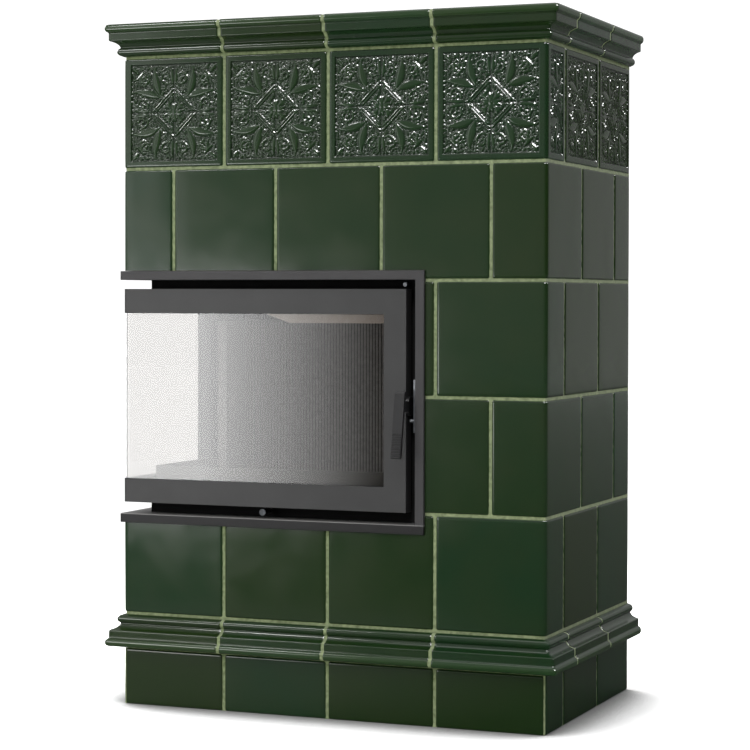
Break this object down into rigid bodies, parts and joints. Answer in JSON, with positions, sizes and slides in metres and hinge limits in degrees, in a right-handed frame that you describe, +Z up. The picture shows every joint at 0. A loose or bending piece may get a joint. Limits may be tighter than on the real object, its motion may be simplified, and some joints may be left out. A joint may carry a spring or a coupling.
{
  "type": "tiled stove",
  "caption": "Glazed tile stove with moulded cornices, an ornament course and a two-sided glass-door fire insert.",
  "frame": {"origin": "centre of the tiled body's footprint, on the floor", "axes": "+Z up, +X to the right of the front, the glass door faces -Y"},
  "size_m": [0.959, 0.6085, 1.3763],
  "materials": {
    "green_glazed_tile": "gloss",
    "render_board": "matte",
    "fireclay": "matte",
    "cast_iron": "matte",
    "fire_glass": "gloss",
    "sealing_rope": "matte",
    "grey_steel": "satin",
    "door_steel": "satin",
    "black_steel": "matte"
  },
  "bodies": {
    "root": {"ash_pan": "grey_steel", "back_lining": "fireclay", "back_panel": "render_board", "baffle": "fireclay", "base_cornice_front": "green_glazed_tile", "base_cornice_left": "green_glazed_tile", "base_cornice_right": "green_glazed_tile", "base_slab": "render_board", "casing_screw": "grey_steel", "course_1_front": "green_glazed_tile", "course_1_left": "green_glazed_tile", "course_1_right": "green_glazed_tile", "course_2_front": "green_glazed_tile", "course_2_left": "green_glazed_tile", "course_2_right": "green_glazed_tile", "course_3_front": "green_glazed_tile", "course_3_left": "green_glazed_tile", "course_3_right": "green_glazed_tile", "course_4_front": "green_glazed_tile", "course_4_left": "green_glazed_tile", "course_4_right": "green_glazed_tile", "flue_pipe": "black_steel", "hearth_floor": "fireclay", "insert_back_wall": "black_steel", "insert_base": "black_steel", "insert_left_wall": "black_steel", "insert_right_wall": "black_steel", "insert_stand_left": "black_steel", "insert_stand_right": "black_steel", "insert_top": "black_steel", "latch_keeper": "black_steel", "left_lining": "fireclay", "log_guard": "grey_steel", "lower_hinge_bracket": "black_steel", "ornament_course_front": "green_glazed_tile", "ornament_course_left": "green_glazed_tile", "ornament_course_right": "green_glazed_tile", "plinth_front": "green_glazed_tile", "plinth_left": "green_glazed_tile", "plinth_right": "green_glazed_tile", "right_lining": "fireclay", "smoke_hood": "black_steel", "top_cornice_front": "green_glazed_tile", "top_cornice_left": "green_glazed_tile", "top_cornice_right": "green_glazed_tile", "top_cover": "render_board", "trim_frame": "grey_steel", "upper_hinge_bracket": "black_steel"},
    "door": {"door_frame": "door_steel", "front_glass": "fire_glass", "side_glass": "fire_glass", "door_seal": "sealing_rope"},
    "handle": {"door_handle": "black_steel", "latch_hub": "black_steel"},
    "air_slider": {"air_control": "black_steel"},
    "grate": {"grate": "cast_iron"}
  },
  "joints": [
    {"name": "door_hinge", "type": "hinge", "parent": "root", "child": "door", "pos_m": [-0.44, 0.1115, 0.627], "axis": [0, 0, -1], "range_deg": [0, 90]},
    {"name": "handle_turn", "type": "hinge", "parent": "door", "child": "handle", "pos_m": [0.1665, -0.268, 0.617], "axis": [-1, 0, 0], "range_deg": [0, 25]},
    {"name": "air_slide", "type": "slide", "parent": "root", "child": "air_slider", "axis": [0, -1, 0], "range_m": [0, 0.025]},
    {"name": "grate_lift", "type": "slide", "parent": "root", "child": "grate", "axis": [0, 0, 1], "range_m": [0, 0.06]}
  ]
}
